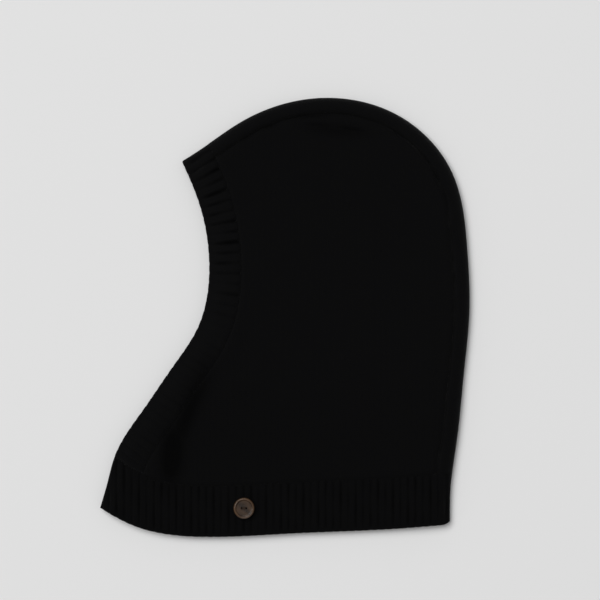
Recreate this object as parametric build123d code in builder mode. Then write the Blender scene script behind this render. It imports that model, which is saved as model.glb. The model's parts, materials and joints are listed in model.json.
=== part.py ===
"""Knitted balaclava hood with a buttoned throat, lying flat on its right side.

Millimetres. +Z points up from the surface that the hood lies on, +Y from the hem
to the crown, and +X from the face opening to the back of the head. The wearer's
left side is the upper layer, the right side the lower one. The origin is the
centre of the bounding box, on the surface.

The hood is cut from plain knit side panels, joined by a narrow crown strip that
runs from the forehead to the nape and folds round the rim. A ribbed face band
and a ribbed hem band finish the two openings. Each throat flap ends in a free
tip: the left one turns back at FOLD_X, the right one holds the buttonhole.
"""

import os

from build123d import *

# ---------------------------------------------------------------- driving sizes
TOTAL_HEIGHT = 13.0  # both layers and the air between them
PANEL_THICKNESS = 3.0  # plain knit
RIB_THICKNESS = 3.4  # ribbed knit
RIM_FILLET = 6.0  # how round the folded rim is

HEM_WIDTH = 42.8
FACE_WIDTH = 26.4
CROWN_WIDTH = 12.4  # half of the crown strip, which is folded along the rim
SEAM_WIDTH = 1.2  # linking yarn between two pieces

FOLD_X = -84.0  # the left throat flap turns back along this line
FLAP_TOP_Y = 20.0  # the flap's cut reaches no higher than this
FOLD_GAP = 0.5  # between the flap and the hood, across the fold

BUTTON_X, BUTTON_Y = -35.0, -163.2
BUTTON_RADIUS = 8.9  # a 28 ligne button
BUTTON_THICKNESS = 2.9
BUTTON_FOOT_RADIUS = 6.4  # the flat middle of its underside
BUTTON_SIDE_LOW, BUTTON_SIDE_HIGH = 1.4, 2.0  # the upright part of its side
BUTTON_SHOULDER = 0.7  # from the side to the top of the rim
BUTTON_RIM = 2.4  # from the edge to the foot of the rim's inner slope
BUTTON_FILLET = 0.55
BUTTON_DISH = 0.8  # how far the middle lies below the rim
BUTTON_HOLE_RADIUS = 0.95
BUTTON_HOLE_SPACING = 3.6
BUTTON_LIFT = 1.6  # from the knit to the button's underside
SHANK_RADIUS = 0.8
SHANK_GAP = 0.1  # the shank's round foot stays just clear of the knit
THREAD_THICKNESS = 0.5
THREAD_CLEARANCE = 0.15

BUTTONHOLE_X = 2 * FOLD_X - BUTTON_X  # it meets the button when the throat is wrapped
BUTTONHOLE_Y = -159.5
BUTTONHOLE_LENGTH = 19.0
BUTTONHOLE_SLIT = 2.0
BUTTONHOLE_BORDER = 1.3  # width of the stitched edge

LABEL_LENGTH, LABEL_WIDTH, LABEL_THICKNESS = 38.0, 17.0, 0.6
LABEL_X, LABEL_Y = 92.0, -122.0
LABEL_CORNER = 1.0
LABEL_STITCH_INSET = 1.6
LABEL_STITCH = 0.4  # width and height of one stitch
LABEL_STITCH_LENGTH = 1.8
LABEL_STITCH_PITCH = 2.6
LABEL_STITCHES = 6  # along each short end

# The three free edges, each a smooth curve through a few points. They cross at the
# corners of the hood, and each runs on straight past its ends by EDGE_LEAD.
RIM_POINTS = [
    (-88.5, 134.2),
    (-71.5, 145.1),
    (-37.0, 168.3),
    (30.0, 188.4),
    (100.6, 171.5),
    (143.4, 124.6),
    (156.5, 59.0),
    (158.4, 6.0),
    (153.4, -50.0),
    (148.2, -101.0),
    (142.0, -150.0),
    (141.9, -177.4),
]
FRONT_POINTS = [
    (-88.5, 134.2),
    (-75.1, 102.5),
    (-64.9, 42.5),
    (-74.6, -8.5),
    (-97.0, -43.5),
    (-120.6, -77.9),
    (-146.7, -121.0),
    (-151.7, -139.3),
    (-158.6, -163.4),
]
BOTTOM_POINTS = [
    (-158.6, -163.4),
    (-131.5, -178.0),
    (-71.0, -188.2),
    (6.0, -185.3),
    (90.0, -181.6),
    (141.9, -177.4),
]
EDGE_LEAD = 90.0
EDGE_SPANS = 14  # how many spans follow an edge when it is moved inwards
FAR = 300.0  # well outside the hood
CORNER_RADIUS = 6.0  # lower back corner
CORNER_X, CORNER_Y = 135.8, -171.4  # its centre

# ------------------------------------------------------------- derived heights
UPPER_PANEL_Z = TOTAL_HEIGHT - PANEL_THICKNESS
UPPER_RIB_Z = TOTAL_HEIGHT - RIB_THICKNESS
MIDDLE_Z = TOTAL_HEIGHT / 2
BUTTON_Z = TOTAL_HEIGHT + BUTTON_LIFT
BUTTON_DISH_RADIUS = BUTTON_RADIUS - BUTTON_RIM


# -------------------------------------------------------------- flat cut shapes
def side_of(edge_points, far_corners, inset):
    """Everything on the hood's side of one free edge, moved inwards by inset."""
    with BuildLine() as free_edge:
        Spline(*edge_points)
    edge = free_edge.edge()
    inwards = -1 if far_corners[0][0] < 0 else 1
    moved = []
    for step in range(EDGE_SPANS + 1):
        along = step / EDGE_SPANS
        direction = edge % along
        normal = Vector(-direction.Y, direction.X) * inwards
        moved.append(edge @ along + normal * inset)
    with BuildSketch() as side:
        with BuildLine():
            curve = Spline(*moved)
            start = curve @ 0 - (curve % 0) * EDGE_LEAD
            end = curve @ 1 + (curve % 1) * EDGE_LEAD
            Polyline(curve @ 1, end, *far_corners, start, curve @ 0)
        make_face()
    return side.sketch


def inside_rim(inset=0.0):
    return side_of(RIM_POINTS, [(-FAR, -FAR), (-FAR, 0)], inset)


def behind_face_edge(inset=0.0):
    return side_of(FRONT_POINTS, [(FAR, -FAR), (FAR, FAR)], inset)


def above_hem_edge(inset=0.0):
    return side_of(BOTTOM_POINTS, [(FAR, FAR), (-FAR, FAR)], inset)


def region(keep, cut=None):
    """What all the shapes in keep share, less the shape cut."""
    with BuildSketch() as shared:
        add(keep[0])
        for shape in keep[1:]:
            add(shape, mode=Mode.INTERSECT)
        if cut is not None:
            add(cut, mode=Mode.SUBTRACT)
    return shared.sketch


def flap_side(clearance):
    """The part of the throat in front of the fold, less clearance."""
    width = FAR + FOLD_X - clearance
    with BuildSketch() as front:
        with Locations((-FAR, FLAP_TOP_Y)):
            Rectangle(width, FAR, align=(Align.MIN, Align.MAX))
    return front.sketch


def buttonhole_slot(border=0.0):
    """The buttonhole's slit, or with border the outside of its stitched edge."""
    with BuildSketch() as slot:
        with Locations((BUTTONHOLE_X, BUTTONHOLE_Y)):
            SlotOverall(BUTTONHOLE_LENGTH + 2 * border, BUTTONHOLE_SLIT + 2 * border)
    return slot.sketch


# The rim is cut by the folded envelope below, so these regions run on past it.
hem_region = region(
    [behind_face_edge(), above_hem_edge()], cut=above_hem_edge(HEM_WIDTH)
)
hem_seam_region = region(
    [behind_face_edge(), above_hem_edge(HEM_WIDTH)],
    cut=above_hem_edge(HEM_WIDTH + SEAM_WIDTH),
)
above_hem = region([behind_face_edge(), above_hem_edge(HEM_WIDTH + SEAM_WIDTH)])
face_region = region([above_hem], cut=behind_face_edge(FACE_WIDTH))
face_seam_region = region(
    [above_hem, behind_face_edge(FACE_WIDTH)],
    cut=behind_face_edge(FACE_WIDTH + SEAM_WIDTH),
)
body_region = region([above_hem, behind_face_edge(FACE_WIDTH + SEAM_WIDTH)])
crown_region = region([body_region], cut=inside_rim(CROWN_WIDTH))
crown_seam_region = region(
    [body_region, inside_rim(CROWN_WIDTH)], cut=inside_rim(CROWN_WIDTH + SEAM_WIDTH)
)
panel_region = region([body_region, inside_rim(CROWN_WIDTH + SEAM_WIDTH)])
moving_flap = flap_side(FOLD_GAP / 2)
fixed_flap_cut = flap_side(-FOLD_GAP / 2)


# ------------------------------------------------ the folded rim and the inside
def rim_solid(thickness, fillet_radius):
    """What lies inside a folded rim: the whole hood at thickness 0, or its inside."""
    with BuildPart() as space:
        with BuildSketch(Plane.XY.offset(thickness)):
            add(inside_rim(thickness))
        extrude(amount=TOTAL_HEIGHT - 2 * thickness)
        rims = space.edges().filter_by(GeomType.BSPLINE).filter_by(
            lambda edge: edge.bounding_box().size.Z < 1e-3
        )
        fillet(rims, fillet_radius)
    return space.part


envelope = rim_solid(0, RIM_FILLET)
panel_inside = rim_solid(PANEL_THICKNESS, RIM_FILLET - PANEL_THICKNESS)
rib_inside = rim_solid(RIB_THICKNESS, RIM_FILLET - RIB_THICKNESS)

pieces = []


def finish(piece, name):
    piece.part.label = name
    pieces.append(piece.part)


# ------------------------------------------------------------------ side panels
with BuildPart() as right_side_panel:
    with BuildSketch():
        add(panel_region)
    extrude(amount=PANEL_THICKNESS)
finish(right_side_panel, "right_side_panel")

with BuildPart() as left_side_panel:
    with BuildSketch(Plane.XY.offset(UPPER_PANEL_Z)):
        add(region([panel_region], cut=fixed_flap_cut))
    extrude(amount=PANEL_THICKNESS)
finish(left_side_panel, "left_side_panel")

with BuildPart() as left_flap_panel:
    with BuildSketch(Plane.XY.offset(UPPER_PANEL_Z)):
        add(region([panel_region, moving_flap]))
    extrude(amount=PANEL_THICKNESS)
finish(left_flap_panel, "left_flap_panel")

# ------------------------------------------------------- crown strip, its seams
with BuildPart() as crown_strip:
    with BuildSketch():
        add(crown_region)
    extrude(amount=TOTAL_HEIGHT)
    add(envelope, mode=Mode.INTERSECT)
    add(panel_inside, mode=Mode.SUBTRACT)
finish(crown_strip, "crown_strip")

with BuildPart() as right_crown_seam:
    with BuildSketch():
        add(crown_seam_region)
    extrude(amount=PANEL_THICKNESS)
finish(right_crown_seam, "right_crown_seam")

with BuildPart() as left_crown_seam:
    with BuildSketch(Plane.XY.offset(UPPER_PANEL_Z)):
        add(crown_seam_region)
    extrude(amount=PANEL_THICKNESS)
finish(left_crown_seam, "left_crown_seam")

# --------------------------------------------------------- face band, its seams
with BuildPart() as face_band:
    with BuildSketch():
        add(face_region)
    extrude(amount=TOTAL_HEIGHT)
    add(envelope, mode=Mode.INTERSECT)
    add(rib_inside, mode=Mode.SUBTRACT)
    with BuildSketch(Plane.XY.offset(MIDDLE_Z)):
        add(fixed_flap_cut)
    extrude(amount=TOTAL_HEIGHT, mode=Mode.SUBTRACT)
finish(face_band, "face_band")

with BuildPart() as left_flap_face_band:
    with BuildSketch(Plane.XY.offset(UPPER_RIB_Z)):
        add(region([face_region, moving_flap]))
    extrude(amount=RIB_THICKNESS)
finish(left_flap_face_band, "left_flap_face_band")

# The seam follows the fold round the forehead, so it is cut like the band.
with BuildPart() as face_seam:
    with BuildSketch():
        add(face_seam_region)
    extrude(amount=TOTAL_HEIGHT)
    add(envelope, mode=Mode.INTERSECT)
    add(panel_inside, mode=Mode.SUBTRACT)
    with BuildSketch(Plane.XY.offset(MIDDLE_Z)):
        add(fixed_flap_cut)
    extrude(amount=TOTAL_HEIGHT, mode=Mode.SUBTRACT)
finish(face_seam, "face_seam")

with BuildPart() as left_flap_face_seam:
    with BuildSketch(Plane.XY.offset(UPPER_PANEL_Z)):
        add(region([face_seam_region, moving_flap]))
    extrude(amount=PANEL_THICKNESS)
finish(left_flap_face_seam, "left_flap_face_seam")

# ----------------------------------------------------- hem band with buttonhole
with BuildPart() as hem_band:
    with BuildSketch():
        add(hem_region)
    extrude(amount=TOTAL_HEIGHT)
    add(envelope, mode=Mode.INTERSECT)
    add(rib_inside, mode=Mode.SUBTRACT)
    with BuildSketch(Plane.XY.offset(MIDDLE_Z)):
        add(fixed_flap_cut)
    extrude(amount=TOTAL_HEIGHT, mode=Mode.SUBTRACT)
    with BuildSketch():
        add(buttonhole_slot(BUTTONHOLE_BORDER))
    extrude(amount=RIB_THICKNESS, mode=Mode.SUBTRACT)
    with BuildSketch():
        with Locations((CORNER_X, CORNER_Y)):
            Rectangle(FAR, FAR, align=(Align.MIN, Align.MAX))
            Circle(CORNER_RADIUS, mode=Mode.SUBTRACT)
    extrude(amount=TOTAL_HEIGHT, mode=Mode.SUBTRACT)
finish(hem_band, "hem_band")

with BuildPart() as buttonhole_stitching:
    with BuildSketch():
        add(region([buttonhole_slot(BUTTONHOLE_BORDER)], cut=buttonhole_slot()))
    extrude(amount=RIB_THICKNESS)
finish(buttonhole_stitching, "buttonhole_stitching")

with BuildPart() as left_flap_hem_band:
    with BuildSketch(Plane.XY.offset(UPPER_RIB_Z)):
        add(region([hem_region, moving_flap]))
    extrude(amount=RIB_THICKNESS)
finish(left_flap_hem_band, "left_flap_hem_band")

with BuildPart() as hem_seam:
    with BuildSketch():
        add(hem_seam_region)
    extrude(amount=TOTAL_HEIGHT)
    add(envelope, mode=Mode.INTERSECT)
    add(panel_inside, mode=Mode.SUBTRACT)
    with BuildSketch(Plane.XY.offset(MIDDLE_Z)):
        add(fixed_flap_cut)
    extrude(amount=TOTAL_HEIGHT, mode=Mode.SUBTRACT)
finish(hem_seam, "hem_seam")

with BuildPart() as left_flap_hem_seam:
    with BuildSketch(Plane.XY.offset(UPPER_PANEL_Z)):
        add(region([hem_seam_region, moving_flap]))
    extrude(amount=PANEL_THICKNESS)
finish(left_flap_hem_seam, "left_flap_hem_seam")

# ------------------------------------------------------------ button and thread
with BuildPart() as button:
    button_origin = (BUTTON_X, BUTTON_Y, BUTTON_Z)
    with BuildSketch(Plane(button_origin, x_dir=(1, 0, 0), z_dir=(0, -1, 0))) as profile:
        with BuildLine():
            Polyline(
                (0, 0),
                (BUTTON_FOOT_RADIUS, 0),
                (BUTTON_RADIUS, BUTTON_SIDE_LOW),
                (BUTTON_RADIUS, BUTTON_SIDE_HIGH),
                (BUTTON_RADIUS - BUTTON_SHOULDER, BUTTON_THICKNESS),
                (BUTTON_DISH_RADIUS + BUTTON_DISH, BUTTON_THICKNESS),
                (BUTTON_DISH_RADIUS, BUTTON_THICKNESS - BUTTON_DISH),
                (0, BUTTON_THICKNESS - BUTTON_DISH),
                close=True,
            )
        make_face()
        rim_corners = profile.vertices().sort_by(Axis.X)[2:]  # all but the two on its axis
        fillet(rim_corners, BUTTON_FILLET)
    revolve(axis=Axis(button_origin, (0, 0, 1)))
    with Locations((BUTTON_X, BUTTON_Y, BUTTON_Z + BUTTON_THICKNESS)):
        with GridLocations(BUTTON_HOLE_SPACING, 0, 2, 1):
            Hole(BUTTON_HOLE_RADIUS)
finish(button, "button")

# One loop of thread: down through both holes, with a bar on top and one below.
THREAD_TOP_Z = BUTTON_Z + BUTTON_THICKNESS - BUTTON_DISH
THREAD_RADIUS = BUTTON_HOLE_RADIUS - THREAD_CLEARANCE
with BuildPart() as button_thread:
    with Locations((BUTTON_X, BUTTON_Y, BUTTON_Z)):
        with GridLocations(BUTTON_HOLE_SPACING, 0, 2, 1):
            Cylinder(
                THREAD_RADIUS,
                THREAD_TOP_Z - BUTTON_Z,
                align=(Align.CENTER, Align.CENTER, Align.MIN),
            )
    for z in (THREAD_TOP_Z, BUTTON_Z - THREAD_THICKNESS):
        with BuildSketch(Plane.XY.offset(z)):
            with Locations((BUTTON_X, BUTTON_Y)):
                SlotCenterToCenter(BUTTON_HOLE_SPACING, 2 * THREAD_RADIUS)
        extrude(amount=THREAD_THICKNESS)
finish(button_thread, "button_thread")

SHANK_FOOT_Z = TOTAL_HEIGHT + SHANK_GAP + SHANK_RADIUS
with BuildPart() as thread_shank:
    with Locations((BUTTON_X, BUTTON_Y, SHANK_FOOT_Z)):
        Sphere(SHANK_RADIUS)
        Cylinder(
            SHANK_RADIUS,
            BUTTON_Z - THREAD_THICKNESS - SHANK_FOOT_Z,
            align=(Align.CENTER, Align.CENTER, Align.MIN),
        )
    split(bisect_by=Plane.XY.offset(BUTTON_Z - THREAD_THICKNESS), keep=Keep.BOTTOM)
finish(thread_shank, "thread_shank")

with BuildPart() as button_anchor_stitches:
    with BuildSketch(Plane.XY.offset(UPPER_RIB_Z - THREAD_THICKNESS)):
        with Locations((BUTTON_X, BUTTON_Y)):
            SlotCenterToCenter(BUTTON_HOLE_SPACING, 2 * SHANK_RADIUS)
    extrude(amount=THREAD_THICKNESS)
finish(button_anchor_stitches, "button_anchor_stitches")

# -------------------------------------------------------------------- care label
with BuildPart() as care_label:
    with BuildSketch(Plane.XY.offset(PANEL_THICKNESS)):
        with Locations((LABEL_X, LABEL_Y)):
            RectangleRounded(LABEL_LENGTH, LABEL_WIDTH, LABEL_CORNER)
    extrude(amount=LABEL_THICKNESS)
finish(care_label, "care_label")

with BuildPart() as care_label_stitches:
    with BuildSketch(Plane.XY.offset(PANEL_THICKNESS + LABEL_THICKNESS)):
        with Locations((LABEL_X, LABEL_Y)):
            rows_apart = LABEL_LENGTH - 2 * LABEL_STITCH_INSET
            with GridLocations(rows_apart, LABEL_STITCH_PITCH, 2, LABEL_STITCHES):
                SlotOverall(LABEL_STITCH_LENGTH, LABEL_STITCH, rotation=90)
    extrude(amount=LABEL_STITCH)
finish(care_label_stitches, "care_label_stitches")

# ------------------------------------------------------------------------ export
os.makedirs("parts", exist_ok=True)
for part in pieces:
    export_step(part, f"parts/{part.label}.step")

box = Compound(children=list(pieces)).bounding_box()
print("box", [round(v, 3) for v in (*box.min, *box.max)])
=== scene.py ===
"""The looks of a knitted balaclava hood that lies flat on its right side.

Shapes are worked out in millimetres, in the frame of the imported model: +Z up from
the surface, +Y from the hem to the crown, +X from the face opening to the back of
the head. The wearer's left side is the upper layer. Every place on the hood is
known by its distance inwards from the three free edges: the rim, where the hood is
folded from forehead to nape, the front edge round the face, and the bottom edge.
"""

import json

from functools import lru_cache
from math import pi

import bmesh
import bpy
import numpy as np
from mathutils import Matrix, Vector

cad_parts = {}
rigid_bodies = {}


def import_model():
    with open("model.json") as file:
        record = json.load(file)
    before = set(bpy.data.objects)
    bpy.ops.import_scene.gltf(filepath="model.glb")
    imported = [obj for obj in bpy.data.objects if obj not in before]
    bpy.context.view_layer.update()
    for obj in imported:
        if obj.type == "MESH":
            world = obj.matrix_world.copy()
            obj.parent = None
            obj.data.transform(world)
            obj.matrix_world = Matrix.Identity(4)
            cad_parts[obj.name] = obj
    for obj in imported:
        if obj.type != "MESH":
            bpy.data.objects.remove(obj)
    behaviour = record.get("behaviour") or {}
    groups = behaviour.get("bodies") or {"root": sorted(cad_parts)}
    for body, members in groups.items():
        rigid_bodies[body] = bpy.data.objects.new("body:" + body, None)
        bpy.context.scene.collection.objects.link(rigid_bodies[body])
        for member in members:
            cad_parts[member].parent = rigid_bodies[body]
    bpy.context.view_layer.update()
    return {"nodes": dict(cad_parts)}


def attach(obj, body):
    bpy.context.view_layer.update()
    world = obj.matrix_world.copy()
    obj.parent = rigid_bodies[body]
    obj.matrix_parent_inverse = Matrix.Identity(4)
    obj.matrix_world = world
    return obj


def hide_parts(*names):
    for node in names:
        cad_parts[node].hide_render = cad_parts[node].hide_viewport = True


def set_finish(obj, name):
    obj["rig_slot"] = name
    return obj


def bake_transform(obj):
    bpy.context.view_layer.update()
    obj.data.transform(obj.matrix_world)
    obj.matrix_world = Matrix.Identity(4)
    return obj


MM = 0.001

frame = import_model()

# ---------------------------------------------------------------- sizes, in mm
RIM_POINTS = [
    (-88.5, 134.2),
    (-71.5, 145.1),
    (-37.0, 168.3),
    (30.0, 188.4),
    (100.6, 171.5),
    (143.4, 124.6),
    (156.5, 59.0),
    (158.4, 6.0),
    (153.4, -50.0),
    (148.2, -101.0),
    (142.0, -150.0),
    (141.9, -177.4),
]
FRONT_POINTS = [
    (-88.5, 134.2),
    (-75.1, 102.5),
    (-64.9, 42.5),
    (-74.6, -8.5),
    (-97.0, -43.5),
    (-120.6, -77.9),
    (-146.7, -121.0),
    (-151.7, -139.3),
    (-158.6, -163.4),
]
BOTTOM_POINTS = [
    (-158.6, -163.4),
    (-131.5, -178.0),
    (-71.0, -188.2),
    (6.0, -185.3),
    (90.0, -181.6),
    (141.9, -177.4),
]

TOTAL = 13.0  # height of the folded rim at its thickest
FOREHEAD_DROP = 2.4  # how much lower the rim is at the forehead
NAPE_DROP = 1.8  # and at the hem
FACE_DROP = 1.5  # how much lower the upper layer is at the face edge
HEM_DROP = 1.1  # and at the bottom edge
FACE_SWELL = 0.6  # how much higher along the middle of the face band
LAYER_SAG = 0.9  # how much lower far from the rim
CROWN_VALLEY = 1.2  # depths of the upper layer's valleys along its seams
FACE_VALLEY = 0.8
HEM_VALLEY = 0.5
ROLL = 10.5  # from the rim to the crest of its roll
PANEL = 2.8  # thickness of the plain knit
RIB = 3.4  # thickness of the ribbed knit
CROWN_SEAM = 13.0  # distances inwards of the seams
FACE_SEAM = 27.0
HEM_SEAM = 43.4
CORNER_RADIUS = 6.0  # lower back corner
FACE_RIB = 8.0  # from one rib to the next
HEM_RIB = 6.4
RIB_DEPTH = 0.68  # of the rib's half thickness
RIB_SWELL = 0.32  # between a rib's end and a groove's, at the free edge
YARN = 0.45  # radius of the linking yarn
BUTTONHOLE_YARN = 0.24  # and of the buttonhole's
THREAD = 0.19  # and of the button's thread
LABEL_THREAD = 0.13  # and of the label's
WALE = 2.05  # one column of stitches
COURSE = 1.6  # one row of stitches
BAND_STEP = 0.82  # between the mesh's points along a band
PANEL_STEP = 1.7  # and on a side panel, either way
STRIP_STEP = 2.4  # and along the crown strip

BUTTON_X, BUTTON_Y = -35.0, -163.2
BUTTON_Z = 14.6  # its underside
BUTTON_TOP_Z = 16.7  # the bottom of its dish
BUTTON_HOLE_SPACING = 3.6
BUTTONHOLE_X, BUTTONHOLE_Y = -133.0, -159.5
BUTTONHOLE_LENGTH, BUTTONHOLE_OPENING = 19.0, 1.5
BUTTONHOLE_STITCHES = 46
LABEL_X, LABEL_Y = 92.0, -122.0
LABEL_LENGTH, LABEL_WIDTH = 38.0, 17.0
LABEL_STITCHES, LABEL_STITCH_PITCH = 6, 2.6  # across each short end

# Soft creases of the upper layer: start, end, half width and depth.
CREASES = [
    ((-37.0, 151.0), (-26.0, 157.5), 1.6, 0.6),
    ((-19.0, 160.8), (-6.0, 166.4), 1.8, 0.8),
    ((-2.0, 170.6), (39.0, 173.0), 1.8, 0.8),
    ((14.0, 163.0), (76.0, 157.0), 6.0, 0.7),
    ((16.0, 165.6), (44.0, 164.4), 1.8, 0.9),
    ((40.0, 164.2), (72.0, 159.0), 2.4, 1.1),
    ((91.0, 160.5), (103.0, 153.0), 1.9, 0.9),
    ((125.5, 130.0), (139.0, 101.0), 2.2, 1.1),
    ((142.0, 84.0), (143.8, 67.0), 1.6, 0.8),
    ((-64.0, -36.0), (-100.0, -124.0), 8.5, 1.3),
    ((-94.0, -92.0), (-99.0, -143.0), 9.0, 1.9),
]


# --------------------------------------------------------------------- helpers
def smoothstep(low, high, x):
    t = np.clip((np.asarray(x, float) - low) / (high - low), 0, 1)
    return t * t * (3 - 2 * t)


def bell(x, centre, width):
    return np.exp(-(((np.asarray(x, float) - centre) / width) ** 2))


def graded(length, coarse, fine=0.45, growth=1.35):
    """Distances from 0 to length, close together at both ends."""
    steps, step = [], fine
    while step < coarse and 2 * sum(steps) + 2 * step < length * 0.8:
        steps.append(step)
        step *= growth
    middle = length - 2 * sum(steps)
    count = max(1, round(middle / coarse))
    every = [*steps, *([middle / count] * count), *reversed(steps)]
    return np.concatenate([[0], np.cumsum(every)])


def cubic_through(points, samples=1500):
    """A natural cubic through the points, its knots spaced by their distances."""
    knots = np.array(points, float)
    gap = np.linalg.norm(np.diff(knots, axis=0), axis=1)
    t = np.concatenate([[0], np.cumsum(gap)])
    n = len(t)
    system, right = np.zeros((n, n)), np.zeros((n, 2))
    system[0, 0] = system[-1, -1] = 1
    for i in range(1, n - 1):
        system[i, i - 1 : i + 2] = gap[i - 1], 2 * (gap[i - 1] + gap[i]), gap[i]
        right[i] = 6 * (
            (knots[i + 1] - knots[i]) / gap[i] - (knots[i] - knots[i - 1]) / gap[i - 1]
        )
    bend = np.linalg.solve(system, right)
    x = np.linspace(0, t[-1], samples)
    i = np.clip(np.searchsorted(t, x) - 1, 0, n - 2)
    b = ((x - t[i]) / gap[i])[:, None]
    a = 1 - b
    curve = a * knots[i] + b * knots[i + 1]
    return curve + ((a**3 - a) * bend[i] + (b**3 - b) * bend[i + 1]) * (
        gap[i] ** 2 / 6
    )[:, None]


class Edge:
    """A free edge, measured along its length, that runs on straight past its ends."""

    LEAD = 90.0

    def __init__(self, points, inwards):
        curve = cubic_through(points)
        along = np.concatenate(
            [[0], np.cumsum(np.linalg.norm(np.diff(curve, axis=0), axis=1))]
        )
        self.end = along[-1]
        s = np.linspace(0, self.end, int(self.end) + 1)
        curve = np.stack([np.interp(s, along, curve[:, k]) for k in (0, 1)], 1)
        lead = np.arange(-self.LEAD, 0, 1.0)[:, None]
        before = curve[0] + lead * (curve[1] - curve[0]) / (s[1] - s[0])
        after = curve[-1] - lead[::-1] * (curve[-1] - curve[-2]) / (s[1] - s[0])
        self.line = np.vstack([before, curve, after])
        self.s = np.concatenate([lead[:, 0], s, self.end - lead[::-1, 0]])
        direction = np.gradient(self.line, self.s, axis=0)
        direction /= np.linalg.norm(direction, axis=1)[:, None]
        self.normal = inwards * np.stack([-direction[:, 1], direction[:, 0]], 1)

    def at(self, s, inset):
        """The point s along the edge and inset inwards from it."""
        place = [
            np.interp(s, self.s, self.line[:, k])
            + np.interp(s, self.s, self.normal[:, k]) * inset
            for k in (0, 1)
        ]
        return np.stack(place, -1)

    def inset(self, points):
        """How far inwards each point is."""
        flat = points.reshape(-1, 2)
        result = np.empty(len(flat))
        for start in range(0, len(flat), 4000):
            some = flat[start : start + 4000]
            gap = ((some[:, None] - self.line[None]) ** 2).sum(-1)
            k = gap.argmin(1)
            result[start : start + 4000] = (
                (some - self.line[k]) * self.normal[k]
            ).sum(1)
        return result.reshape(points.shape[:-1])

    @lru_cache(maxsize=None)
    def crossing(self, inset, other, other_inset, last=False):
        """Where the line at inset from this edge meets the one at other_inset from another."""
        low, high = self.s[0], self.s[-1]
        for step in (5.0, 0.25):
            s = np.arange(low, high + step, step)
            gap = other.inset(self.at(s, inset)) - other_inset
            found = np.nonzero(np.sign(gap[1:]) != np.sign(gap[:-1]))[0]
            k = found[-1 if last else 0]
            low, high = s[k], s[k + 1]
        return low + (high - low) * gap[k] / (gap[k] - gap[k + 1])


RIM = Edge(RIM_POINTS, -1)
FRONT = Edge(FRONT_POINTS, 1)
BOTTOM = Edge(BOTTOM_POINTS, 1)


# ------------------------------------------------------------- how the knit lies
def fold_insets(thickness, count=10):
    """Insets of even steps round the rim's roll, from its middle height to its crest."""
    angle = np.linspace(0, pi / 2, count + 1)
    half = thickness / 2
    return half + (ROLL - half) * (1 - np.cos(angle))


def creased(plan):
    """How deep the soft creases are at each place."""
    depth = np.zeros(plan.shape[:-1])
    for start, end, width, deepest in CREASES:
        start, run = np.array(start), np.subtract(end, start)
        share = np.clip(((plan - start) @ run) / (run @ run), 0, 1)
        gap = np.linalg.norm(plan - start - share[..., None] * run, axis=-1)
        tapered = 0.25 + 0.75 * np.sin(pi * share)
        depth = np.maximum(depth, deepest * tapered * bell(gap, 0, width))
    return depth


def gathered(plan):
    """How much the knit is gathered into the crown seam, 1 on average along it."""
    x, y = plan[..., 0], plan[..., 1]
    return 1 + 0.7 * np.sin(x / 4.3 + 2.1 * np.sin(y / 13)) * np.sin(y / 5.9 + x / 21)


def undulating(plan):
    """How high the plain knit's soft waves are: two long ones and a ripple."""
    x, y = plan[..., 0], plan[..., 1]
    sideways = 0.40 * np.sin(x / 34 + 1.3 * np.sin(y / 47))
    upwards = 0.30 * np.sin(y / 27 + x / 71 + 0.8)
    ripple = 0.12 * np.sin((x - y) / 11 + np.sin(y / 19))
    return sideways + upwards + ripple


def upper_layer(half, plan, rim, face, hem):
    """Heights of the middle of the upper layer, past the rim's roll."""
    flat = TOTAL - half - 0.5 - LAYER_SAG * smoothstep(14, 70, rim)
    flat = flat - FACE_DROP * bell(face, 0, 9) - HEM_DROP * bell(hem, 0, 8)
    flat = flat + FACE_SWELL * bell(face, FACE_SEAM / 2, 8)
    plain = smoothstep(FACE_SEAM, FACE_SEAM + 18, face) * smoothstep(44, 60, hem)
    plain = plain * smoothstep(14, 34, rim)
    return flat + plain * undulating(plan) - creased(plan)


def seam_valleys(plan, rim, face, hem):
    """How deep the knit is drawn in along the three seams."""
    above_hem = smoothstep(HEM_SEAM - 1, HEM_SEAM + 1, hem)
    beside_face = smoothstep(FACE_SEAM - 1, FACE_SEAM, face)
    crown = CROWN_VALLEY * bell(rim, CROWN_SEAM + 0.6, 2.3) * gathered(plan) * beside_face
    above = (crown + FACE_VALLEY * bell(face, FACE_SEAM, 2.0)) * above_hem
    return above + HEM_VALLEY * bell(hem, HEM_SEAM, 1.7)


def lie(upper, thickness, plan, rim=None, face=None, hem=None):
    """Heights of the middle of a layer of knit over its plan."""
    rim = RIM.inset(plan) if rim is None else rim
    face = FRONT.inset(plan) if face is None else face
    hem = BOTTOM.inset(plan) if hem is None else hem
    half = thickness / 2
    height = TOTAL - FOREHEAD_DROP * bell(face, 0, 24) - NAPE_DROP * bell(hem, 0, 26)
    round_the_rim = np.clip(1 - (rim - half) / (ROLL - half), 0, 1)
    dome = np.sqrt(1 - round_the_rim**2)
    towards = 1 if upper else -1
    rolled = height / 2 + towards * (height / 2 - half) * dome
    flat = upper_layer(half, plan, rim, face, hem) if upper else np.full_like(rim, half)
    past_the_roll = smoothstep(ROLL, ROLL + 7.5, rim)
    level = rolled * (1 - past_the_roll) + flat * past_the_roll
    depth = 1.0 if upper else 0.3  # the lower layer is pressed against the floor
    valleys = seam_valleys(plan, rim, face, hem)
    return level - towards * depth * valleys * smoothstep(3, ROLL, rim)


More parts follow.
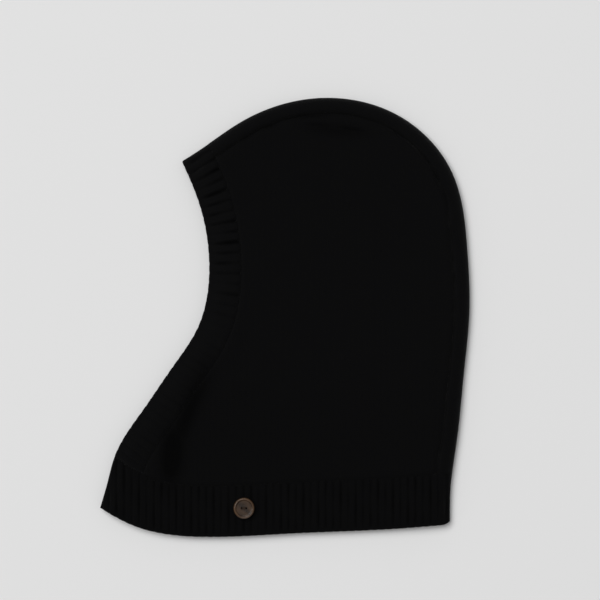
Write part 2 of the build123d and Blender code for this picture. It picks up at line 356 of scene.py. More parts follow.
def painted_shade_and_tone(plan, rim, hem):
    """Painted shade on the upper layer, 0 to 1: darker in the creases and along the crown seam.

    The knit is also a touch darker towards the hem.
    """
    above_hem = smoothstep(HEM_SEAM - 1, HEM_SEAM + 1, hem)
    seam = 0.22 * bell(rim, CROWN_SEAM + 0.5, 2.0) * gathered(plan) * above_hem
    darker_to_hem = 0.09 * smoothstep(20, 110, -plan[..., 1])
    return np.clip(0.55 * np.minimum(creased(plan), 1.2) + seam + darker_to_hem, 0, 1)


def rib_relief(along, across, pitch):
    """Ribs of two columns of stitches with a groove between them.

    Gives the ridge, 1 on a rib and 0 deep in a groove, and how wide the groove gapes,
    from 0 to 1. Knit is never even: some grooves stand open and others nearly close.
    """
    groove = np.floor(along / pitch)
    turn = (along / pitch - groove - 0.5) * 2
    sway = np.sin(2.4 * groove + across / 9) * np.sin(1.3 * groove - across / 13 + 1)
    gape = 0.5 + 0.5 * sway
    valley = np.exp(-((np.abs(turn) / (0.30 + 0.14 * gape)) ** 2.2))
    between_columns = 0.12 * np.exp(-(((1 - np.abs(turn)) / 0.12) ** 2))
    return 1 - (0.45 + 0.55 * gape) * valley - between_columns, gape * valley


def swelling(along, across, pitch):
    """How far a rib's end stands out past the band's free edge, and a groove's end back."""
    ridge, _ = rib_relief(along, across, pitch)
    return RIB_SWELL * (ridge - 0.5) * np.exp(-across / 3.5)


def drawn_in(from_seam):
    """Half the plain knit's thickness, less where a seam draws it in."""
    return PANEL / 2 * (0.6 + 0.4 * smoothstep(0, 3.5, from_seam))


def rounded(distance, reach):
    """0 at an edge and 1 from reach inwards, as a half circle rises."""
    return np.sqrt(1 - (1 - np.clip(distance / reach, 0.02, 1)) ** 2)


# ------------------------------------------------------------------ mesh making
def new_object(name, vertices, faces, body=None, uvs=None, dark=None, smooth=True):
    """A mesh object from points in millimetres. uvs are in millimetres too, one per vertex.

    dark is kept as the attribute "hollow", which the knit's material reads: above 0 it is
    painted shade that makes the knit darker there, and below 0 a painted highlight that
    makes it a little lighter.
    """
    mesh = bpy.data.meshes.new(name)
    mesh.from_pydata((np.asarray(vertices, float) * MM).tolist(), [], faces)
    if uvs is not None:
        layer = mesh.uv_layers.new(name="knit")
        loops = np.empty(len(mesh.loops), np.int32)
        mesh.loops.foreach_get("vertex_index", loops)
        layer.data.foreach_set("uv", np.asarray(uvs, np.float32)[loops].ravel())
    if dark is not None:
        attribute = mesh.attributes.new("painted_shade_and_tone", "FLOAT", "POINT")
        attribute.data.foreach_set("value", np.asarray(dark, np.float32))
    if smooth:
        mesh.shade_smooth()
    obj = bpy.data.objects.new(name, mesh)
    bpy.context.scene.collection.objects.link(obj)
    if body:
        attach(obj, body)
    return obj


def shell(name, mid, outer, inner, upper, uv, dark=0.0, body=None):
    """Knit of real thickness round a grid of middle points, closed all round.

    outer and inner are how far the knit reaches to each side of the middle, and dark
    how much painted shade its outer side gets, or painted highlight where it is below 0.
    """
    across, along = np.gradient(mid, axis=0), np.gradient(mid, axis=1)
    normal = np.cross(across, along)
    normal /= np.linalg.norm(normal, axis=-1)[..., None]
    turned = (normal[:, 0, 2].sum() > 0) != upper
    if turned:
        normal = -normal
    rows, columns = mid.shape[:2]
    outside = mid + normal * np.broadcast_to(outer, (rows, columns))[..., None]
    inside = mid - normal * np.broadcast_to(inner, (rows, columns))[..., None]
    vertices = np.vstack([outside.reshape(-1, 3), inside.reshape(-1, 3)])
    index = np.arange(rows * columns).reshape(rows, columns)
    quads = np.stack(
        [index[:-1, :-1], index[1:, :-1], index[1:, 1:], index[:-1, 1:]], -1
    ).reshape(-1, 4)
    back = quads[:, ::-1] + rows * columns
    loop = np.concatenate([index[:-1, 0], index[-1, :-1], index[:0:-1, -1], index[0, :0:-1]])
    following = np.roll(loop, -1)
    far = rows * columns
    side = np.stack([following, loop, loop + far, following + far], -1)
    faces = np.vstack([quads, back, side])
    if turned:
        faces = faces[:, ::-1]
    uvs = np.concatenate([uv.reshape(-1, 2), uv.reshape(-1, 2)])
    dark = np.broadcast_to(dark, (rows, columns)).ravel()
    dark = np.concatenate([dark, np.zeros_like(dark)])
    return new_object(name, vertices, faces.tolist(), body, uvs, dark)


def tube(points, radius, sides=8):
    """Vertices and faces of a round strand that follows points."""
    points = np.asarray(points, float)
    direction = np.gradient(points, axis=0)
    direction /= np.linalg.norm(direction, axis=1)[:, None]
    aside = np.cross(direction, (0.13, 0.21, 0.97))
    aside /= np.linalg.norm(aside, axis=1)[:, None]
    other = np.cross(direction, aside)
    turn = np.linspace(0, 2 * pi, sides, endpoint=False)
    ring = aside[:, None] * np.cos(turn)[None, :, None]
    ring = ring + other[:, None] * np.sin(turn)[None, :, None]
    radius = np.broadcast_to(radius, len(points))
    vertices = (points[:, None] + ring * radius[:, None, None]).reshape(-1, 3)
    faces = []
    for i in range(len(points) - 1):
        for k in range(sides):
            a, b = i * sides + k, i * sides + (k + 1) % sides
            faces.append((a, b, b + sides, a + sides))
    last = (len(points) - 1) * sides
    faces.append(tuple(reversed(range(sides))))
    faces.append(tuple(last + k for k in range(sides)))
    return vertices, faces


def strands(name, paths, radius, body=None, sides=8):
    """One piece made of several round strands."""
    vertices, faces, start = [], [], 0
    for path in paths:
        points, quads = tube(path, radius, sides)
        vertices.append(points)
        faces += [tuple(i + start for i in face) for face in quads]
        start += len(points)
    return new_object(name, np.vstack(vertices), faces, body)


# ------------------------------------------------------------------ side panels
def panel(name, upper):
    """Plain knit inside the three seams, as a patch between four sides."""
    chin = FRONT.crossing(FACE_SEAM, BOTTOM, HEM_SEAM, last=True)
    forehead = FRONT.crossing(FACE_SEAM, RIM, CROWN_SEAM)
    rim_start = RIM.crossing(CROWN_SEAM, FRONT, FACE_SEAM)
    rim_end = RIM.crossing(CROWN_SEAM, BOTTOM, HEM_SEAM, last=True)
    rim_turn = rim_start + 0.42 * (rim_end - rim_start)
    hem_start = BOTTOM.crossing(HEM_SEAM, FRONT, FACE_SEAM)
    hem_end = BOTTOM.crossing(HEM_SEAM, RIM, CROWN_SEAM, last=True)
    a = graded(250, PANEL_STEP)[:, None] / 250
    b = graded(290, PANEL_STEP)[:, None] / 290
    low = BOTTOM.at(hem_start + a[:, 0] * (hem_end - hem_start), HEM_SEAM)
    high = RIM.at(rim_start + a[:, 0] * (rim_turn - rim_start), CROWN_SEAM)
    front = FRONT.at(chin + b[:, 0] * (forehead - chin), FACE_SEAM)
    back = RIM.at(rim_end + b[:, 0] * (rim_turn - rim_end), CROWN_SEAM)
    a, b = a[:, :, None], b[None]
    plan = (1 - b) * low[:, None] + b * high[:, None]
    plan = plan + (1 - a) * front[None] + a * back[None]
    plan = plan - (1 - a) * (1 - b) * low[0] - a * (1 - b) * low[-1]
    plan = plan - (1 - a) * b * high[0] - a * b * high[-1]
    rim, face, hem = RIM.inset(plan), FRONT.inset(plan), BOTTOM.inset(plan)
    z = lie(upper, PANEL, plan, rim, face, hem)
    from_seam = np.minimum(np.minimum(rim - CROWN_SEAM, face - FACE_SEAM), hem - HEM_SEAM)
    half = drawn_in(from_seam)
    mid = np.concatenate([plan, z[..., None]], -1)
    dark = painted_shade_and_tone(plan, rim, hem) if upper else 0.0
    return shell(name, mid, half, half, upper, plan, dark)


# ------------------------------------------------------------------ crown strip
def crown_strip(name):
    """The strip folded over the rim, from the upper seam round to the lower one."""
    flat_insets = ROLL + graded(CROWN_SEAM - ROLL, 1.2)[1:]
    insets = np.concatenate([fold_insets(PANEL), flat_insets])
    starts = [RIM.crossing(i, FRONT, FACE_SEAM) for i in insets]
    ends = [RIM.crossing(i, BOTTOM, HEM_SEAM, last=True) for i in insets]
    share = graded(470, STRIP_STEP) / 470
    s = np.array([a + (b - a) * share for a, b in zip(starts, ends)])
    inset = np.broadcast_to(insets[:, None], s.shape)
    plan = RIM.at(s, inset)
    sides = []
    for upper in (True, False):
        z = lie(upper, PANEL, plan, rim=inset)
        sides.append(np.concatenate([plan, z[..., None]], -1))
    mid = np.vstack([sides[0][::-1], sides[1][1:]])
    girth = mid[:, len(share) // 4]  # one row of points over the rim
    wide = np.concatenate([[0], np.cumsum(np.linalg.norm(np.diff(girth, axis=0), axis=1))])
    along = np.vstack([s[::-1], s[1:]])
    uv = np.stack([np.broadcast_to(wide[:, None], along.shape), along], -1)
    half = drawn_in(np.minimum(wide, wide[-1] - wide)[:, None])
    dark = painted_shade_and_tone(plan, inset, BOTTOM.inset(plan))
    dark = np.vstack([dark[::-1], np.zeros_like(dark[1:])])
    return shell(
        name, mid.transpose(1, 0, 2), half.T, half.T, True, uv.transpose(1, 0, 2), dark.T
    )


# --------------------------------------------------------------- ribbed bands
def ribbed(name, upper, plan, rim, face, hem, across, along, pitch, free, reach, tone, uv):
    """A ribbed band over its plan, thick on the ribs and thin in the grooves.

    across is how far each point is from the band's free edge, along is where it is
    along the band, free is how far it is from the nearest free edge, reach is how
    plainly the grooves show there, and tone is how much darker the band is besides, or
    lighter when it is below 0.
    """
    z = lie(upper, RIB, plan, rim, face, hem)
    ridge, gape = rib_relief(along, across, pitch)
    depth = RIB_DEPTH * (0.45 + 0.55 * np.minimum(reach, 1))
    edge = rounded(free, RIB / 2)
    outer = RIB / 2 * edge * (1 - depth * (1 - ridge))
    inner = RIB / 2 * edge * (1 - depth * ridge)
    mid = np.concatenate([plan, z[..., None]], -1)
    # Painted shade in the rib grooves, deepest where a groove gapes, on top of the layer's
    # painted shade and the band's tone.
    dark = painted_shade_and_tone(plan, rim, hem) + (0.2 * (1 - ridge) + 0.6 * gape) * reach + tone
    return shell(name, mid, outer, inner, upper, uv, np.clip(dark, -0.4, 1))


def face_band(name, upper):
    """Half of the face band: from the forehead's fold to the hem band's seam."""
    rows = graded(FACE_SEAM, 1.3, 0.3)
    fold = fold_insets(RIB)
    starts = np.array([[FRONT.crossing(v, RIM, i) for i in fold] for v in rows])
    ends = np.array([FRONT.crossing(v, BOTTOM, HEM_SEAM, last=True) for v in rows])
    first, final = starts[:, -1].mean(), ends.mean()
    middle = np.linspace(first, final, int((final - first) / BAND_STEP))[1:]
    u = middle + (starts[:, -1:] - first) * (1 - smoothstep(0, 45, middle - first))
    u = u + (ends[:, None] - final) * smoothstep(-45, 0, middle - final)
    s = np.hstack([starts, u])
    along = np.concatenate([starts.mean(0), middle])
    along = np.broadcast_to(along, s.shape)
    across = np.broadcast_to(rows[:, None], s.shape)
    plan = FRONT.at(s, across - swelling(along, across, FACE_RIB))
    rim = RIM.inset(plan)
    rim[:, : len(fold)] = fold
    hem = BOTTOM.inset(plan)
    uv = np.stack([along, across], -1)
    reach = smoothstep(2, 9, across) * (1.45 - 1.2 * smoothstep(62, 150, along))
    # Painted highlight: the band is lighter towards its free edge, where it rolls down towards
    # the light, and a little lighter all over besides.
    tone = -0.12 - 0.22 * bell(across, 0, 10)
    return ribbed(
        name, upper, plan, rim, across, hem, across, along, FACE_RIB, across, reach, tone, uv
    )


def hem_band(name, upper):
    """Half of the hem band: from the throat tip to the fold at the nape."""
    rows = graded(HEM_SEAM, 2.0, 0.3)
    fold = fold_insets(RIB)[::-1]
    starts = np.array([BOTTOM.crossing(v, FRONT, 0) for v in rows])
    ends = np.array([[BOTTOM.crossing(v, RIM, i, last=True) for i in fold] for v in rows])
    length = (ends[:, 0] - starts).mean()
    tip = graded(12, 0.8, 0.25)[:-1]
    share = np.concatenate([tip, np.linspace(12, length, int(length / BAND_STEP))]) / length
    s = starts[:, None] + (ends[:, :1] - starts[:, None]) * share
    s = np.hstack([s, ends[:, 1:]])
    across = np.broadcast_to(rows[:, None], s.shape)
    plan = BOTTOM.at(s, across)
    along = plan[..., 0]
    rim = RIM.inset(plan)
    rim[:, -len(fold) :] = fold
    near = np.clip(1 - rim / CORNER_RADIUS, 0, 1)
    corner = CORNER_RADIUS * (1 - np.sqrt(1 - near**2)) * (1 - smoothstep(0, 16, across))
    plan = BOTTOM.at(s, across + corner - swelling(along, across, HEM_RIB))
    face = np.maximum(FRONT.inset(plan), 0)
    uv = np.stack([along, across], -1)
    free = np.minimum(across, s - starts[:, None])
    reach = 0.75 * smoothstep(1, 6, across)
    tone = 0.05
    return ribbed(
        name, upper, plan, rim, face, across, across, along, HEM_RIB, free, reach, tone, uv
    )


# ------------------------------------------------------------------------ seams
def linking(name, edge, inset, start, end, upper, body=None):
    """Linking stitches: yarn that goes to and fro across a seam's groove."""
    pitch, reach = 1.15, 0.95  # along the seam, and to each side of it
    count = int((end - start) / pitch)
    s = np.linspace(start, end, count * 4 + 1)
    swing = np.sin(np.arange(len(s)) * pi / 4)
    plan = edge.at(s, inset + reach * swing)
    z = lie(upper, PANEL, plan)
    lift = PANEL / 2 - 0.70 + 0.22 * (1 - np.abs(swing))
    z = z + (lift if upper else -lift)
    points = np.concatenate([plan, z[:, None]], 1)
    return strands(name, [points], YARN, body, sides=6)


def folds_with_flap(piece):
    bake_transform(piece)


pieces = {}


def made(piece, nodes, slot, flap=False):
    """Register a piece: hide the CAD nodes that it stands for, give it its slot, and attach it
    to the hood's body unless it has one; a piece of the flap only has its transform baked.
    """
    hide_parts(*nodes)
    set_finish(piece, slot)
    if flap:
        folds_with_flap(piece)
    elif piece.parent is None:
        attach(piece, "hood")
    pieces[piece.name] = piece
    return piece


left_panel = made(
    panel("side_panel_left", True),
    ["left_side_panel", "left_flap_panel"],
    "plain_knit",
    flap=True,
)
right_panel = made(panel("side_panel_right", False), ["right_side_panel"], "plain_knit")
strip = made(crown_strip("crown_strip_knit"), ["crown_strip"], "plain_knit")
left_face = made(
    face_band("face_band_left", True),
    ["face_band", "left_flap_face_band"],
    "rib_knit",
    flap=True,
)
right_face = made(face_band("face_band_right", False), ["face_band"], "rib_knit")
left_hem = made(
    hem_band("hem_band_left", True),
    ["hem_band", "left_flap_hem_band"],
    "rib_knit",
    flap=True,
)
right_hem = made(hem_band("hem_band_right", False), ["hem_band"], "rib_knit")

crown_from = RIM.crossing(CROWN_SEAM, FRONT, FACE_SEAM)
crown_to = RIM.crossing(CROWN_SEAM, BOTTOM, HEM_SEAM, last=True)
face_from = FRONT.crossing(FACE_SEAM, RIM, ROLL)
face_to = FRONT.crossing(FACE_SEAM, BOTTOM, HEM_SEAM, last=True)
hem_from = BOTTOM.crossing(HEM_SEAM, FRONT, 1.0)
hem_to = BOTTOM.crossing(HEM_SEAM, RIM, ROLL, last=True)
for upper, side in ((True, "left"), (False, "right")):
    made(
        linking(f"crown_seam_{side}", RIM, CROWN_SEAM, crown_from, crown_to, upper),
        [f"{side}_crown_seam"],
        "linking_yarn",
    )
    made(
        linking(f"face_seam_{side}", FRONT, FACE_SEAM, face_from, face_to, upper),
        ["face_seam", "left_flap_face_seam"] if upper else ["face_seam"],
        "linking_yarn",
        flap=upper,
    )
    made(
        linking(f"hem_seam_{side}", BOTTOM, HEM_SEAM, hem_from, hem_to, upper),
        ["hem_seam", "left_flap_hem_seam"] if upper else ["hem_seam"],
        "linking_yarn",
        flap=upper,
    )


# ------------------------------------------------------------- the buttonhole
def lens(share, length, opening):
    """A point on a pointed oval slit, share of the way round it, and its outward normal."""
    turn = 2 * pi * share
    x, y = length / 2 * np.cos(turn), opening / 2 * np.sin(turn)
    out = np.stack([np.cos(turn) / length, np.sin(turn) / opening], -1)
    return np.stack([x, y], -1), out / np.linalg.norm(out, axis=-1)[..., None]


def cut_buttonhole(band):
    """A real slit through the ribbed knit, its cut edges cleaned of slivers."""
    share = np.linspace(0, 1, 48, endpoint=False)
    outline, _ = lens(share, BUTTONHOLE_LENGTH, BUTTONHOLE_OPENING)
    outline = outline + (BUTTONHOLE_X, BUTTONHOLE_Y)
    count = len(outline)
    below_the_band, above_the_band = -3.0, 8.0
    low = np.column_stack([outline, np.full(count, below_the_band)])
    high = np.column_stack([outline, np.full(count, above_the_band)])
    faces = [(i, (i + 1) % count, (i + 1) % count + count, i + count) for i in range(count)]
    faces += [tuple(reversed(range(count))), tuple(range(count, 2 * count))]
    cutter = new_object("cutter", np.vstack([low, high]), faces, smooth=False)
    cut = band.modifiers.new("slit", "BOOLEAN")
    cut.operation, cut.solver, cut.object = "DIFFERENCE", "EXACT", cutter
    depsgraph = bpy.context.evaluated_depsgraph_get()
    band.data = bpy.data.meshes.new_from_object(band.evaluated_get(depsgraph))
    band.modifiers.clear()
    bpy.data.objects.remove(cutter)
    cleaned = bmesh.new()
    cleaned.from_mesh(band.data)
    bmesh.ops.remove_doubles(cleaned, verts=cleaned.verts, dist=0.05 * MM)
    bmesh.ops.triangulate(cleaned, faces=[f for f in cleaned.faces if len(f.verts) > 4])
    cleaned.to_mesh(band.data)
    cleaned.free()


def buttonhole_stitches():
    """Blanket stitches: each one wraps the slit's edge, and a purl runs along the edge."""
    paths = []
    count = BUTTONHOLE_STITCHES
    centre = np.array([BUTTONHOLE_X, BUTTONHOLE_Y])
    wrap = np.linspace(-0.62 * pi, 0.62 * pi, 11)
    for k in range(count):
        place, out = lens((k + 0.5) / count, BUTTONHOLE_LENGTH, BUTTONHOLE_OPENING)
        reach = 1.75 + 0.25 * np.sin(k * 2.7)
        aside = np.array([-out[1], out[0]]) * 0.16 * np.sin(k * 1.9)
        path = []
        for angle in wrap:
            away = reach * max(0.0, (1 - np.cos(angle)) / 1.37)
            plan = centre + place + out * (away - 0.05) + aside * angle
            z = RIB / 2 + (RIB / 2 + 0.05) * np.sin(angle)
            path.append((*plan, max(z, 0.3)))
        paths.append(path)
    for z in (RIB - 0.35, 0.6):
        ring, out = lens(np.linspace(0, 1, 121), BUTTONHOLE_LENGTH, BUTTONHOLE_OPENING)
        wave = 0.12 * np.sin(np.arange(121) * 2.4)
        plan = ring + centre - out * 0.1
        paths.append(np.column_stack([plan, z + wave]))
    return strands("buttonhole_edge", paths, BUTTONHOLE_YARN, sides=6)


cut_buttonhole(right_hem)
made(buttonhole_stitches(), ["buttonhole_stitching"], "linking_yarn")


# --------------------------------------------------------- the button's thread
def lying_height(x, y, side):
    """Top (side 1) or underside (side -1) of the upper hem band there."""
    return float(lie(True, RIB, np.array([[x, y]]))[0]) + side * RIB / 2


def sewn_through():
    """Four turns of thread side by side: up one hole, over the dish, down the other."""
    paths = []
    half = BUTTON_HOLE_SPACING / 2
    for k in range(4):
        y = BUTTON_Y + (k - 1.5) * 0.34
        hole_y = BUTTON_Y + (k - 1.5) * 0.22
        top = BUTTON_TOP_Z + 0.16 + 0.05 * np.sin(k * 2.1)
        low = BUTTON_Z - 0.28
        out = half - 0.32 + 0.10 * np.cos(k * 1.7)
        path = [
            (BUTTON_X - 0.5, y, low),
            (BUTTON_X - out + 0.25, hole_y, low + 0.05),
            (BUTTON_X - out, hole_y, low + 0.5),
            (BUTTON_X - out, hole_y, top - 0.45),
            (BUTTON_X - out + 0.22, (hole_y + y) / 2, top - 0.03),
            (BUTTON_X - half / 2, y, top + 0.10),
            (BUTTON_X, y, top + 0.12),
            (BUTTON_X + half / 2, y, top + 0.10),
            (BUTTON_X + out - 0.22, (hole_y + y) / 2, top - 0.03),
            (BUTTON_X + out, hole_y, top - 0.45),
            (BUTTON_X + out, hole_y, low + 0.5),
            (BUTTON_X + out - 0.25, hole_y, low + 0.05),
            (BUTTON_X + 0.5, y, low),
        ]
        paths.append(smooth_line(path))
    return strands("button_sewing", paths, THREAD, "button")


def smooth_line(points, count=60):
    """Even points on a rounded line through a few points."""
    points = np.asarray(points, float)
    gap = np.linalg.norm(np.diff(points, axis=0), axis=1)
    t = np.concatenate([[0], np.cumsum(gap)])
    even = np.linspace(0, t[-1], count)
    line = np.stack([np.interp(even, t, points[:, k]) for k in range(3)], -1)
    for _ in range(3):
        line[1:-1] = (line[:-2] + 2 * line[1:-1] + line[2:]) / 4
    return line


def wound_shank():
    """Thread from the knit to the button, wound round itself a few times."""
    foot = lying_height(BUTTON_X, BUTTON_Y, 1) - 0.7
    head = BUTTON_Z - 0.12
    paths = []
    for k in range(4):
        turn = k * pi / 2 + 0.4
        x, y = BUTTON_X + 0.34 * np.cos(turn), BUTTON_Y + 0.34 * np.sin(turn)
        paths.append(
            smooth_line(
                [
                    (x + 0.9 * np.cos(turn), y + 0.5 * np.sin(turn), foot),
                    (x, y, foot + 0.9),
                    (x, y, head - 0.4),
                    (x + 0.3 * np.cos(turn), y, head),
                ],
                16,
            )
        )
    turn = np.linspace(0, 7.5 * 2 * pi, 150)
    rise = foot + 0.75 + (head - foot - 1.1) * turn / turn[-1]
    radius = 0.62 + 0.04 * np.sin(turn * 0.7)
    paths.append(
        np.stack([BUTTON_X + radius * np.cos(turn), BUTTON_Y + radius * np.sin(turn), rise], -1)
    )
    return strands("shank_winding", paths, THREAD, "shank")


def anchor_stitches():
    """The thread's bars on the inner side of the left hem."""
    under = lying_height(BUTTON_X, BUTTON_Y, -1)
    paths = []
    for k in range(4):
        y = BUTTON_Y + (k - 1.5) * 0.42
        reach = 1.8 + 0.25 * np.sin(k * 2.3)
        dip = under - 0.12 - 0.06 * np.cos(k * 1.4)
        paths.append(
            smooth_line(
                [
                    (BUTTON_X - reach, y, under + 0.9),
                    (BUTTON_X - reach, y, under + 0.1),
                    (BUTTON_X - reach / 2, y + 0.1, dip),
                    (BUTTON_X + reach / 2, y - 0.1, dip),
                    (BUTTON_X + reach, y, under + 0.1),
                    (BUTTON_X + reach, y, under + 0.9),
                ],
                30,
            )
        )
    return strands("button_anchor", paths, THREAD, "hood")


made(sewn_through(), ["button_thread"], "button_thread")
made(wound_shank(), ["thread_shank"], "button_thread")
made(anchor_stitches(), ["button_anchor_stitches"], "button_thread")


# ------------------------------------------------------------------ care label
def label_height(x, y):
    """The tape lies on the right panel's inner side, its free long edges lifted a little."""
    lift = 0.5 * (np.abs(y - LABEL_Y) / (LABEL_WIDTH / 2)) ** 4 * bell(x, LABEL_X + 4, 13)
    return PANEL + 0.35 + lift + 0.08 * np.sin((x - LABEL_X) / 5.0)


def care_label():
    """Blank satin tape with its two short ends turned under."""
    u = np.linspace(-0.5, 0.5, 77)[:, None] * LABEL_LENGTH
    v = np.linspace(-0.5, 0.5, 41)[None] * LABEL_WIDTH
    x, y = np.broadcast_arrays(LABEL_X + u, LABEL_Y + v)
    doubled = smoothstep(LABEL_LENGTH / 2 - 4.4, LABEL_LENGTH / 2 - 3.6, np.abs(x - LABEL_X))
    z = label_height(x, y) + 0.10 * doubled
    mid = np.stack([x, y, z], -1)
    half = 0.14 + 0.10 * doubled
    return shell("care_label_tape", mid, half, half, True, np.stack([x, y], -1))


def label_stitches():
    """A row of machine stitches across each short end."""
    paths = []
    for side in (-1, 1):
        x = LABEL_X + side * (LABEL_LENGTH / 2 - 1.6)
        for k in range(LABEL_STITCHES):
            y = LABEL_Y + (k - (LABEL_STITCHES - 1) / 2) * LABEL_STITCH_PITCH
            top = float(label_height(x, y)) + 0.34
            paths.append(
                smooth_line(
                    [
                        (x, y - 1.0, top - 0.7),
                        (x, y - 0.9, top - 0.05),
                        (x + 0.06, y, top + 0.06),
                        (x, y + 0.9, top - 0.05),
                        (x, y + 1.0, top - 0.7),
                    ],
                    16,
                )
            )
    return strands("care_label_sewing", paths, LABEL_THREAD, "hood")


label = made(care_label(), ["care_label"], "label_tape")
label_sewing = made(label_stitches(), ["care_label_stitches"], "label_thread")


# -------------------------------------------------------------------- materials
BLACK = (0.0031, 0.0031, 0.0033)
HORN = (0.0268, 0.0142, 0.0068)
BROWN_THREAD = (0.034, 0.022, 0.015)
BLACK_SATIN = (0.012, 0.012, 0.013)
BLACK_THREAD = (0.006, 0.006, 0.0065)
GREY_FLOOR = (0.80, 0.80, 0.80)


def shade_of(color, times):
    """A lighter or darker version of the colour, as a socket takes it."""
    return (*[c * times for c in color], 1)


class Finish:
    """A material, with short names for building its node tree."""

    def __init__(self, name, color, roughness, sheen=0.0, sheen_roughness=0.4, specular=0.2):
        self.material = bpy.data.materials.new(name)
        self.material.use_nodes = True
        self.tree = self.material.node_tree
        self.color = color
        self.shader = self.tree.nodes["Principled BSDF"].inputs
        self.shader["Base Color"].default_value = (*color, 1)
        self.shader["Roughness"].default_value = roughness
        self.shader["Specular IOR Level"].default_value = specular
        self.shader["Sheen Weight"].default_value = sheen
        self.shader["Sheen Roughness"].default_value = sheen_roughness

    def put(self, value, socket):
        """Link the socket to another one, or give it a constant."""
        if isinstance(value, bpy.types.NodeSocket):
            self.tree.links.new(value, socket)
        else:
            socket.default_value = value

    def node(self, kind, inputs=None, **settings):
        """The outputs of a new node."""
        node = self.tree.nodes.new(kind)
        for key, value in settings.items():
            setattr(node, key, value)
        for socket, value in (inputs or {}).items():
            self.put(value, node.inputs[socket])
        return node.outputs

    def math(self, operation, *values):
        inputs = dict(enumerate(values))
        return self.node("ShaderNodeMath", inputs, operation=operation)[0]

    def plus(self, a, b):
        return self.math("ADD", a, b)

    def minus(self, a, b):
        return self.math("SUBTRACT", a, b)

    def times(self, a, b):
        return self.math("MULTIPLY", a, b)

    def blended(self, a, share_a, b, share_b):
        return self.plus(self.times(a, share_a), self.times(b, share_b))

    def arch(self, x):
        """0 at 0 and at 1, and 1 halfway."""
        turn = self.minus(self.times(x, 2), 1)
        return self.minus(1, self.times(turn, turn))

    def noise(self, place, scale, detail, distortion=0.0):
        inputs = {"Vector": place, "Scale": scale, "Detail": detail, "Distortion": distortion}
        return self.node("ShaderNodeTexNoise", inputs)["Fac"]

    def bands(self, place, direction, scale, distortion, detail=2.0):
        """Soft stripes that follow one another in that direction."""
        inputs = {"Vector": place, "Scale": scale, "Detail": detail, "Distortion": distortion}
        return self.node(
            "ShaderNodeTexWave", inputs, wave_type="BANDS", bands_direction=direction
        )["Fac"]

    def mix(self, share, a, b):
        inputs = {"Factor": share, "A": a, "B": b}
        return self.node("ShaderNodeMix", inputs, data_type="RGBA")["Result"]

    def set_color(self, share, dark, pale):
        """Base colour between two multiples of the finish's own colour."""
        mixed = self.mix(share, shade_of(self.color, dark), shade_of(self.color, pale))
        self.put(mixed, self.shader["Base Color"])

    def set_roughness(self, share, least, rise):
        self.put(self.plus(self.times(share, rise), least), self.shader["Roughness"])

    def set_bump(self, height, strength, distance):
        """Relief too fine for the mesh; distance is in millimetres."""
        inputs = {"Height": height, "Strength": strength, "Distance": distance * MM}
        self.put(self.node("ShaderNodeBump", inputs)["Normal"], self.shader["Normal"])


def knit_material(name, wale, course):
    """Columns of V-shaped stitches, drawn on the piece's own millimetres."""
    knit = Finish(name, BLACK, 0.9, sheen=0.07, sheen_roughness=0.33, specular=0.03)
    uv = knit.node("ShaderNodeUVMap", uv_map="knit")["UV"]
    wander = knit.times(knit.minus(knit.noise(uv, scale=0.22, detail=2.0), 0.5), 0.9)
    place = knit.node("ShaderNodeSeparateXYZ", {"Vector": uv})
    column = knit.math("FRACT", knit.math("DIVIDE", knit.plus(place["X"], wander), wale))
    row = knit.math("DIVIDE", knit.plus(place["Y"], wander), course)
    aside = knit.times(knit.math("ABSOLUTE", knit.minus(column, 0.5)), 2)
    strand = knit.arch(knit.math("FRACT", knit.plus(row, knit.times(aside, -0.75))))
    leg = knit.arch(aside)
    stitch = knit.times(knit.math("SQRT", strand), knit.math("SQRT", leg))
    fibre = knit.noise(uv, scale=2.6, detail=3.0)
    knit.set_bump(knit.plus(stitch, knit.times(fibre, 0.5)), strength=0.75, distance=0.45)
    lit = knit.times(knit.plus(knit.times(stitch, 0.55), 0.45), knit.plus(fibre, 0.5))
    # Painted shade and highlight from the mesh's attribute: darker in creases, seams and rib
    # grooves, lighter along the face band's free edge.
    painted_shading_amount = knit.node("ShaderNodeAttribute", attribute_name="painted_shade_and_tone")["Fac"]
    knit.set_color(knit.times(lit, knit.minus(1, painted_shading_amount)), dark=0.2, pale=1.35)
    knit.set_roughness(fibre, least=0.76, rise=0.2)
    return knit.material


def twisted_material(name, color, sheen, plies_scale):
    """Spun yarn or thread: fine slanting plies that run round the strand."""
    yarn = Finish(name, color, 0.85, sheen, sheen_roughness=0.35, specular=0.06)
    place = yarn.node("ShaderNodeTexCoord")["Object"]
    plies = yarn.bands(place, "DIAGONAL", scale=plies_scale, distortion=2.0)
    yarn.set_color(plies, dark=0.5, pale=1.3)
    yarn.set_bump(plies, strength=0.5, distance=0.06)
    yarn.set_roughness(plies, least=0.75, rise=0.15)
    return yarn.material


def satin_material(name, color):
    """Woven tape: close warp lines, a fainter weft, and a low gloss."""
    satin = Finish(name, color, 0.45, sheen=0.15, sheen_roughness=0.3, specular=0.4)
    uv = satin.node("ShaderNodeUVMap", uv_map="knit")["UV"]
    weft = satin.bands(uv, "X", scale=7.0, distortion=0.6)
    warp = satin.bands(uv, "Y", scale=4.0, distortion=0.6)
    weave = satin.blended(weft, 0.3, warp, 0.7)
    satin.set_color(weave, dark=0.7, pale=1.2)
    satin.set_bump(weave, strength=0.4, distance=0.05)
    satin.set_roughness(weave, least=0.38, rise=0.15)
    return satin.material


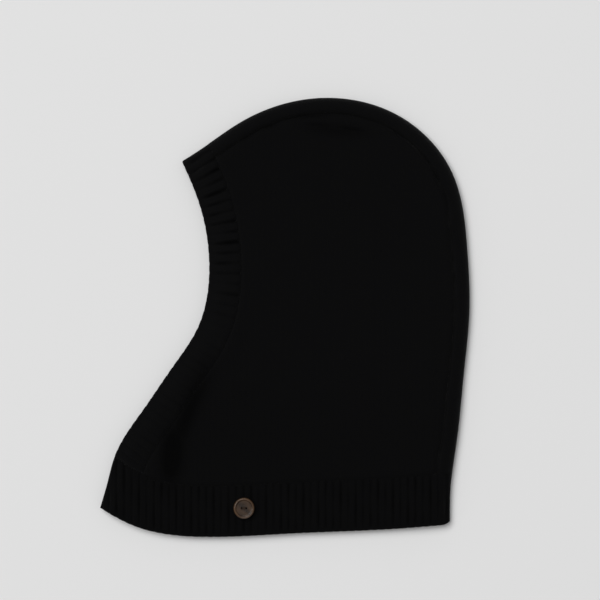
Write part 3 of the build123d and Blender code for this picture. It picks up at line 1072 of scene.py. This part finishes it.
def horn_material(name):
    """Dark brown horn: smoky bands, a painted highlight that pales it towards the rim, fine
    scratches.
    """
    horn = Finish(name, HORN, 0.2, specular=0.4)
    place = horn.node("ShaderNodeTexCoord")["Object"]
    to_centre = {"Vector": place, "Location": (-BUTTON_X * MM, -BUTTON_Y * MM, 0)}
    centred = horn.node("ShaderNodeMapping", to_centre)["Vector"]
    clouds = horn.noise(centred, scale=160.0, detail=5.0, distortion=1.2)
    streaks = horn.bands(centred, "DIAGONAL", scale=38.0, distortion=9.0, detail=3.0)
    smoke = horn.blended(clouds, 0.65, streaks, 0.35)
    ramp = horn.tree.nodes.new("ShaderNodeValToRGB")
    for stop, position, times in zip(ramp.color_ramp.elements, (0.28, 0.78), (0.55, 1.9)):
        stop.position = position
        stop.color = shade_of(HORN, times)
    horn.put(smoke, ramp.inputs["Fac"])
    flat = horn.node("ShaderNodeVectorMath", {0: centred, 1: (1, 1, 0)}, operation="MULTIPLY")
    radius = horn.node("ShaderNodeVectorMath", {0: flat["Vector"]}, operation="LENGTH")
    # Painted highlight: the colour turns paler towards the rim.
    rim_highlight = horn.node(
        "ShaderNodeMapRange",
        {"Value": radius["Value"], "From Min": 6.6 * MM, "From Max": 8.2 * MM},
        interpolation_type="SMOOTHSTEP",
    )["Result"]
    color = horn.mix(horn.times(rim_highlight, 0.6), ramp.outputs["Color"], shade_of(HORN, 3.2))
    horn.put(color, horn.shader["Base Color"])
    scratches = horn.noise(centred, scale=900.0, detail=2.0)
    horn.set_roughness(scratches, least=0.12, rise=0.16)
    horn.set_bump(scratches, strength=0.15, distance=0.03)
    return horn.material


HALF_BLACK = tuple(c * 0.5 for c in BLACK)
finishes = {
    "plain_knit": knit_material("plain_knit", WALE, COURSE),
    "rib_knit": knit_material("rib_knit", FACE_RIB / 4, COURSE),
    "linking_yarn": twisted_material("linking_yarn", HALF_BLACK, 0.03, 900.0),
    "button_thread": twisted_material("button_thread", BROWN_THREAD, 0.02, 1500.0),
    "label_tape": satin_material("label_tape", BLACK_SATIN),
    "label_thread": twisted_material("label_thread", BLACK_THREAD, 0.02, 1500.0),
}
for piece in pieces.values():
    piece.data.materials.clear()
    piece.data.materials.append(finishes[piece["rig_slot"]])
button = frame["nodes"]["button"]
button.data.materials.clear()
button.data.materials.append(horn_material("horn"))

# ------------------------------------------------------- floor, camera, light
REACH = 4000  # of the floor, each way
floor_corners = [(-REACH, -REACH, 0), (REACH, -REACH, 0), (REACH, REACH, 0), (-REACH, REACH, 0)]
floor = new_object("floor", floor_corners, [(0, 1, 2, 3)], smooth=False)
floor.data.materials.append(Finish("floor", GREY_FLOOR, 0.9).material)

CAMERA_PLACE = (12.9, 14.9, 2400.0)  # straight above the hood, looking down
FIELD = 516.6  # how much of the floor the picture shows, across
SENSOR = 36.0
camera_data = bpy.data.cameras.new("camera")
camera_data.sensor_width = SENSOR
camera_data.lens = SENSOR * CAMERA_PLACE[2] / FIELD
camera_data.clip_end = 20
camera = bpy.data.objects.new("camera", camera_data)
camera.location = Vector(CAMERA_PLACE) * MM
bpy.context.scene.collection.objects.link(camera)
bpy.context.scene.camera = camera


def softbox(name, direction, distance, side, power):
    """A square studio lamp that faces the hood from that direction."""
    data = bpy.data.lights.new(name, "AREA")
    data.shape = "SQUARE"
    data.size = side * MM
    data.energy = power
    light = bpy.data.objects.new(name, data)
    light.location = Vector(direction).normalized() * distance * MM
    light.rotation_euler = Vector(direction).to_track_quat("Z", "Y").to_euler()
    bpy.context.scene.collection.objects.link(light)


softbox("key", (-1.0, 0.9, 2.9), distance=12000, side=8600, power=1195)
world = bpy.data.worlds.new("world")
world.use_nodes = True
sky = world.node_tree.nodes["Background"].inputs
sky["Color"].default_value = (1, 1, 1, 1)
sky["Strength"].default_value = 0.27
bpy.context.scene.world = world
bpy.context.scene.view_settings.view_transform = "Standard"
